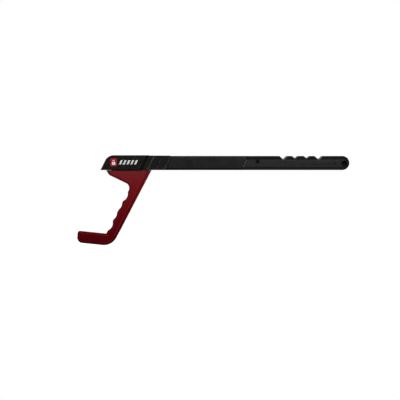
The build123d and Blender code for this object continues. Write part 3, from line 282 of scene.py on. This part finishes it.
def brushed_metal(name, colour, roughness, stretch, dark=0.55, edge_highlight=None):
    """Ground or drawn metal: fine streaks along one direction, stains, and edges painted lighter as a painted
    highlight.
    """
    g = Graph(name)
    streaks = g.noise(0.25 * MM, 3, 0.6, g.stretched(stretch))
    stains = g.clouds(9 * MM, 5, rough=0.6, spread=(0.35, 0.72))
    tone = g.mix(stains, colour, shaded(colour, dark))
    # Painted highlight: edges are lighter than the metal
    g.set(Base_Color=g.mix(g.times(g.edges(0.3 * MM), 0.5), tone, edge_highlight or shaded(colour, 1.5)))
    g.set(Metallic=1.0, Roughness=g.ramp(streaks, *NOISE_SPREAD, roughness - 0.08, roughness + 0.1))
    g.set(Normal=g.bump(streaks, 0.01 * MM, 0.6))
    return g.material


def cast_metal(name, colour):
    """As-cast zinc alloy: pitted, dull skin."""
    g = Graph(name)
    skin = g.noise(1.2 * MM, 5, 0.65)
    g.set(Base_Color=g.mix(g.clouds(12 * MM, 4), colour, shaded(colour, 0.7)))
    g.set(Metallic=0.85, Roughness=g.ramp(skin, *NOISE_SPREAD, 0.48, 0.66))
    g.set(Normal=g.bump(skin, 0.06 * MM, 0.6))
    return g.material


def printed_ink(name, colour, faded):
    """Pad-printed marking: dense ink with a few pinholes and worn edges."""
    g = Graph(name)
    dense = g.clouds(0.7 * MM, 4, rough=0.7, spread=(0.30, 0.38))
    wear = g.times(g.edges(0.25 * MM), g.clouds(3 * MM, 3, 0.1, 0.7, spread=(0.4, 0.7)))
    g.set(Base_Color=g.mix(wear, g.mix(dense, faded, colour), faded))
    g.set(Roughness=g.clouds(6 * MM, 4, 0.42, 0.6), Specular_IOR_Level=0.15)
    g.set(Normal=g.bump(g.noise(0.5 * MM, 2), 0.01 * MM))
    return g.material


BAR_BLACK, BAR_WORN = (0.0040, 0.0040, 0.0042), (0.05, 0.05, 0.052)
COVER_BLACK, COVER_WORN = (0.0044, 0.0040, 0.0036), (0.040, 0.038, 0.036)
BADGE_BLACK, BADGE_WORN = (0.0042, 0.0038, 0.0034), (0.03, 0.03, 0.03)
GRIP_GREY, GRIP_WORN = (0.0090, 0.0091, 0.0094), (0.05, 0.05, 0.052)
# Painted highlight colour for the grip's notch slopes, and painted bounce light colour for its underside
GRIP_SLOPE_HIGHLIGHT, GRIP_UNDER_BOUNCE = (0.200, 0.200, 0.204), (0.026, 0.026, 0.027)
# Black oxide, and the lighter colour of its painted edge highlight
OXIDE_BLACK, OXIDE_EDGE_HIGHLIGHT = (0.010, 0.010, 0.011), (0.045, 0.045, 0.047)
PLAIN_WORN = (0.05, 0.05, 0.05)

# Streaks run along the axis with the small factor, or round a turned piece where Y has the large one
ALONG_BAR, ALONG_KEY = (0.12, 1, 1), (1, 0.15, 1)


def around_y(factor):
    """The stretch of streaks that run round an axis along Y."""
    return (1, factor, 1)


MATERIALS = {
    "bar_steel": powder_coat("satin_black_coat", BAR_BLACK, BAR_WORN, 0.30, 0.30),
    "zinc": cast_metal("cast_zinc", (0.33, 0.33, 0.34)),
    "cover_black": moulded_plastic("black_cover", COVER_BLACK, COVER_WORN, 0.45 * MM, 0.38, 0.15),
    "badge": moulded_plastic("badge_black", BADGE_BLACK, BADGE_WORN, 0.3 * MM, 0.36, 0.15, 0.3 * MM),
    "lock_metal": brushed_metal("nickel_plate", (0.62, 0.61, 0.58), 0.22, around_y(8), 0.8),
    "screw_steel": brushed_metal("black_oxide", OXIDE_BLACK, 0.38, around_y(6), edge_highlight=OXIDE_EDGE_HIGHLIGHT),
    "spring_steel": brushed_metal("spring_steel", (0.32, 0.31, 0.30), 0.30, around_y(5)),
    "plate_steel": brushed_metal("hardened_plate", (0.30, 0.30, 0.31), 0.34, ALONG_BAR),
    "grip_plastic": moulded_plastic(
        "grip_grey", GRIP_GREY, GRIP_WORN, 0.6 * MM, 0.38, 0.24, slope_highlight=GRIP_SLOPE_HIGHLIGHT, under=GRIP_UNDER_BOUNCE
    ),
    "ring_black": powder_coat("ring_coat", (0.006, 0.006, 0.006), PLAIN_WORN, 0.34),
    "hook_red": hook_paint("deep_red_paint"),
    "bush_brass": brushed_metal("turned_brass", (0.62, 0.43, 0.17), 0.28, around_y(9), 0.75),
    "plug_brass": brushed_metal("machined_brass", (0.64, 0.48, 0.22), 0.26, around_y(9), 0.75),
    "key_metal": brushed_metal("key_nickel", (0.60, 0.59, 0.55), 0.25, ALONG_KEY, 0.8),
    "key_plastic": moulded_plastic("key_black", (0.014, 0.014, 0.014), PLAIN_WORN, 0.5 * MM, 0.48),
}
WHITE_INK = printed_ink("white_ink", (0.82, 0.82, 0.80), (0.45, 0.45, 0.44))
RED_INK = printed_ink("red_ink", (0.40, 0.004, 0.026), (0.24, 0.004, 0.018))

for row in frame["record"]["subparts"]:
    shown = frame["nodes"][row["node"]]
    shown.data.materials.clear()
    shown.data.materials.append(MATERIALS[row["material_slot"]])

# ---------------------------------------------------------------- badge markings

badge_low, badge_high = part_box("badge_plate")
BADGE_FACE = badge_low.y
BADGE_MIDDLE = (badge_low.z + badge_high.z) / 2
MARK_RISE = 0.25 * MM  # how far a marking stands above what it lies on
MARK_ROOT = 0.05 * MM  # how far it reaches below that
MARK_BEVEL = 0.08 * MM
TILE_LEFT = badge_low.x + 4 * MM
TILE_WIDTH = 13.0 * MM
TILE_HALF_HEIGHT = 0.62 * TILE_WIDTH
TILE_CORNER = 2.2 * MM
PADLOCK_MIDDLE = TILE_LEFT + TILE_WIDTH / 2
PADLOCK_HALF_WIDTH = 3.3 * MM
PADLOCK_LOW = BADGE_MIDDLE - 5.0 * MM
PADLOCK_HIGH = PADLOCK_LOW + 5.4 * MM
PADLOCK_CORNER = 0.9 * MM
PADLOCK_BEVEL = 0.06 * MM
SHACKLE_RADII = (2.5 * MM, 1.4 * MM)  # outer and inner
SHACKLE_RISE = 1.4 * MM  # the arc's centre above the body
SHACKLE_GAP = 0.2 * MM  # between the legs' ends and the body
STRIPES = 5
STRIPES_LEFT = badge_low.x + TILE_WIDTH + 8 * MM
STRIPES_RIGHT = badge_high.x - 5 * MM
STRIPE_SHARE = 0.5  # a stripe's width as a share of the pitch
STRIPE_HALF_HEIGHT = 4.2 * MM
STRIPE_SLANT = math.radians(64)


def finish_piece(name, mesh, material):
    """Makes an object of a bmesh, gives it a material and lets it ride on the frame."""
    bmesh.ops.recalc_face_normals(mesh, faces=mesh.faces)
    data = bpy.data.meshes.new(name)
    mesh.to_mesh(data)
    mesh.free()
    piece = bpy.data.objects.new(name, data)
    bpy.context.scene.collection.objects.link(piece)
    data.materials.append(material)
    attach(piece, "frame")


def add_inlay(mesh, outline, face, bevel):
    """Adds a thin raised shape to a mesh: an (X, Z) outline on a face at this Y, with soft front edges."""
    back, front = face + MARK_ROOT, face - MARK_RISE
    base = mesh.faces.new([mesh.verts.new((x, back, z)) for x, z in outline])
    grown = bmesh.ops.extrude_face_region(mesh, geom=[base])["geom"]
    moved = [item for item in grown if isinstance(item, bmesh.types.BMVert)]
    bmesh.ops.translate(mesh, verts=moved, vec=(0, front - back, 0))
    rim = [edge for edge in mesh.edges if all(v in moved for v in edge.verts) and len(edge.link_faces) == 2]
    bmesh.ops.bevel(mesh, geom=rim, offset=bevel, segments=2, affect="EDGES", profile=0.6)


def arc(centre, radius, start, end, steps):
    """Points along a circular arc, angles in degrees."""
    turns = [math.radians(start + (end - start) * k / steps) for k in range(steps + 1)]
    return [(centre[0] + radius * math.cos(t), centre[1] + radius * math.sin(t)) for t in turns]


def rounded_box(left, right, low, high, radius):
    """The outline of a rectangle with round corners."""
    corners = (
        ((right - radius, high - radius), 0),
        ((left + radius, high - radius), 90),
        ((left + radius, low + radius), 180),
        ((right - radius, low + radius), 270),
    )
    return [point for centre, start in corners for point in arc(centre, radius, start, start + 90, 6)]


def build_tile():
    """A red tile near the badge's front end."""
    mesh = bmesh.new()
    low, high = BADGE_MIDDLE - TILE_HALF_HEIGHT, BADGE_MIDDLE + TILE_HALF_HEIGHT
    outline = rounded_box(TILE_LEFT, TILE_LEFT + TILE_WIDTH, low, high, TILE_CORNER)
    add_inlay(mesh, outline, BADGE_FACE, MARK_BEVEL)
    finish_piece("badge_tile", mesh, RED_INK)


def build_padlock():
    """A plain padlock sign on the tile: a body, a shackle and nothing else."""
    mesh = bmesh.new()
    tile_face = BADGE_FACE - MARK_RISE
    left, right = PADLOCK_MIDDLE - PADLOCK_HALF_WIDTH, PADLOCK_MIDDLE + PADLOCK_HALF_WIDTH
    body = rounded_box(left, right, PADLOCK_LOW, PADLOCK_HIGH, PADLOCK_CORNER)
    add_inlay(mesh, body, tile_face, PADLOCK_BEVEL)
    centre = (PADLOCK_MIDDLE, PADLOCK_HIGH + SHACKLE_RISE)
    legs_low = PADLOCK_HIGH + SHACKLE_GAP
    shackle = []
    for radius, side in zip(SHACKLE_RADII, (1, -1)):
        start = 0 if side > 0 else 180
        shackle.append((PADLOCK_MIDDLE + side * radius, legs_low))
        shackle.extend(arc(centre, radius, start, 180 - start, 14))
        shackle.append((PADLOCK_MIDDLE - side * radius, legs_low))
    add_inlay(mesh, shackle, tile_face, PADLOCK_BEVEL)
    finish_piece("badge_padlock", mesh, WHITE_INK)


def build_stripes():
    """A row of plain slanted stripes that fills the rest of the badge."""
    mesh = bmesh.new()
    pitch = (STRIPES_RIGHT - STRIPES_LEFT) / STRIPES
    width = STRIPE_SHARE * pitch
    low, high = BADGE_MIDDLE - STRIPE_HALF_HEIGHT, BADGE_MIDDLE + STRIPE_HALF_HEIGHT
    lean = (high - low) / math.tan(STRIPE_SLANT)
    for k in range(STRIPES):
        x = STRIPES_LEFT + k * pitch
        outline = [(x, low), (x + width, low), (x + width + lean, high), (x + lean, high)]
        add_inlay(mesh, outline, BADGE_FACE, MARK_BEVEL)
    finish_piece("badge_stripes", mesh, WHITE_INK)


build_tile()
build_padlock()
build_stripes()

# ---------------------------------------------------------------- floor, lights and camera

HORIZON_BAND = (0.10, 0.60, 0.12, 0.02)  # heights where the fade starts and ends, and the strengths there
FLOOR_GAP = 1 * MM
FLOOR_REACH = 40.0
FLOOR_GREY = (0.35, 0.35, 0.35)
FLOOR_GLOW = 0.985  # strength of an emission that only the camera sees
LIGHTS = (  # name, then place, target and size in metres, then power in watts
    ("key", (0.75, -2.9, 1.4), (0.15, 0, 0), (1.4, 1.0), 60),
    ("accent", (-2.03, -1.54, 1.12), (0.15, 0, 0.05), (0.5, 0.5), 20),
    ("back", (0.7, 2.0, 2.4), (0.15, 0, 0), (1.4, 1.0), 45),
    ("rim", (-0.45, 2.74, 1.0), (0.36, 0, 0.06), (1.2, 0.8), 12),
)
SENSOR_WIDTH = 36.0  # millimetres, as Blender counts a lens
CAMERA_DISTANCE = 8.0
PICTURE_WIDTH = 0.8  # metres across the picture at the object
PICTURE_MIDDLE = (158 * MM, -22 * MM)  # X and Z
FAR_CLIP = 200.0


def studio_world():
    """White where the camera looks past the object. The rest sees a soft band of light along the horizon."""
    world = bpy.data.worlds.new("studio")
    bpy.context.scene.world = world
    world.use_nodes = True
    tree = world.node_tree
    tree.nodes.clear()
    output = tree.nodes.new("ShaderNodeOutputWorld")
    seen, light = tree.nodes.new("ShaderNodeBackground"), tree.nodes.new("ShaderNodeBackground")
    for background in (seen, light):
        background.inputs["Color"].default_value = (*WHITE, 1)
    direction, split = tree.nodes.new("ShaderNodeTexCoord"), tree.nodes.new("ShaderNodeSeparateXYZ")
    upright, band = tree.nodes.new("ShaderNodeMath"), tree.nodes.new("ShaderNodeMapRange")
    upright.operation = "ABSOLUTE"
    band.interpolation_type = "SMOOTHSTEP"
    for name, number in zip(RANGE_NAMES, HORIZON_BAND):
        band.inputs[name].default_value = number
    tree.links.new(direction.outputs["Generated"], split.inputs["Vector"])
    tree.links.new(split.outputs["Z"], upright.inputs[0])
    tree.links.new(upright.outputs["Value"], band.inputs["Value"])
    tree.links.new(band.outputs["Result"], light.inputs["Strength"])
    path, mix = tree.nodes.new("ShaderNodeLightPath"), tree.nodes.new("ShaderNodeMixShader")
    tree.links.new(path.outputs["Is Camera Ray"], mix.inputs["Fac"])
    tree.links.new(light.outputs["Background"], mix.inputs[1])
    tree.links.new(seen.outputs["Background"], mix.inputs[2])
    tree.links.new(mix.outputs["Shader"], output.inputs["Surface"])


def studio_floor():
    """A plain pale floor just under the hook's toe, as white to the camera as the backdrop."""
    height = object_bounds()[0].z - FLOOR_GAP
    signs = ((-1, -1), (1, -1), (1, 1), (-1, 1))
    mesh = bmesh.new()
    mesh.faces.new([mesh.verts.new((x * FLOOR_REACH, y * FLOOR_REACH, height)) for x, y in signs])
    data = bpy.data.meshes.new("floor")
    mesh.to_mesh(data)
    mesh.free()
    floor = bpy.data.objects.new("floor", data)
    bpy.context.scene.collection.objects.link(floor)
    floor.visible_glossy = False
    g = Graph("pale_floor")
    to_camera = g.add("LightPath").outputs["Is Camera Ray"]
    g.set(Base_Color=FLOOR_GREY, Roughness=0.9, Specular_IOR_Level=0.0)
    g.set(Emission_Color=WHITE, Emission_Strength=g.times(to_camera, FLOOR_GLOW))
    data.materials.append(g.material)


def soft_light(name, place, target, size, power):
    """A soft box aimed at a point."""
    data = bpy.data.lights.new(name, "AREA")
    data.shape = "RECTANGLE"
    data.size, data.size_y = size
    data.energy = power
    lamp = bpy.data.objects.new(name, data)
    bpy.context.scene.collection.objects.link(lamp)
    lamp.location = place
    lamp.rotation_euler = (Vector(target) - Vector(place)).to_track_quat("-Z", "Y").to_euler()


def side_camera():
    """A long lens, level and square to the badge side."""
    data = bpy.data.cameras.new("camera")
    data.sensor_width = SENSOR_WIDTH
    data.lens = SENSOR_WIDTH * CAMERA_DISTANCE / PICTURE_WIDTH
    data.clip_end = FAR_CLIP
    camera = bpy.data.objects.new("camera", data)
    bpy.context.scene.collection.objects.link(camera)
    camera.location = (PICTURE_MIDDLE[0], -CAMERA_DISTANCE, PICTURE_MIDDLE[1])
    camera.rotation_euler = (math.radians(90), 0, 0)
    bpy.context.scene.camera = camera


studio_world()
studio_floor()
for light in LIGHTS:
    soft_light(*light)
side_camera()
bpy.context.scene.view_settings.view_transform = "Standard"
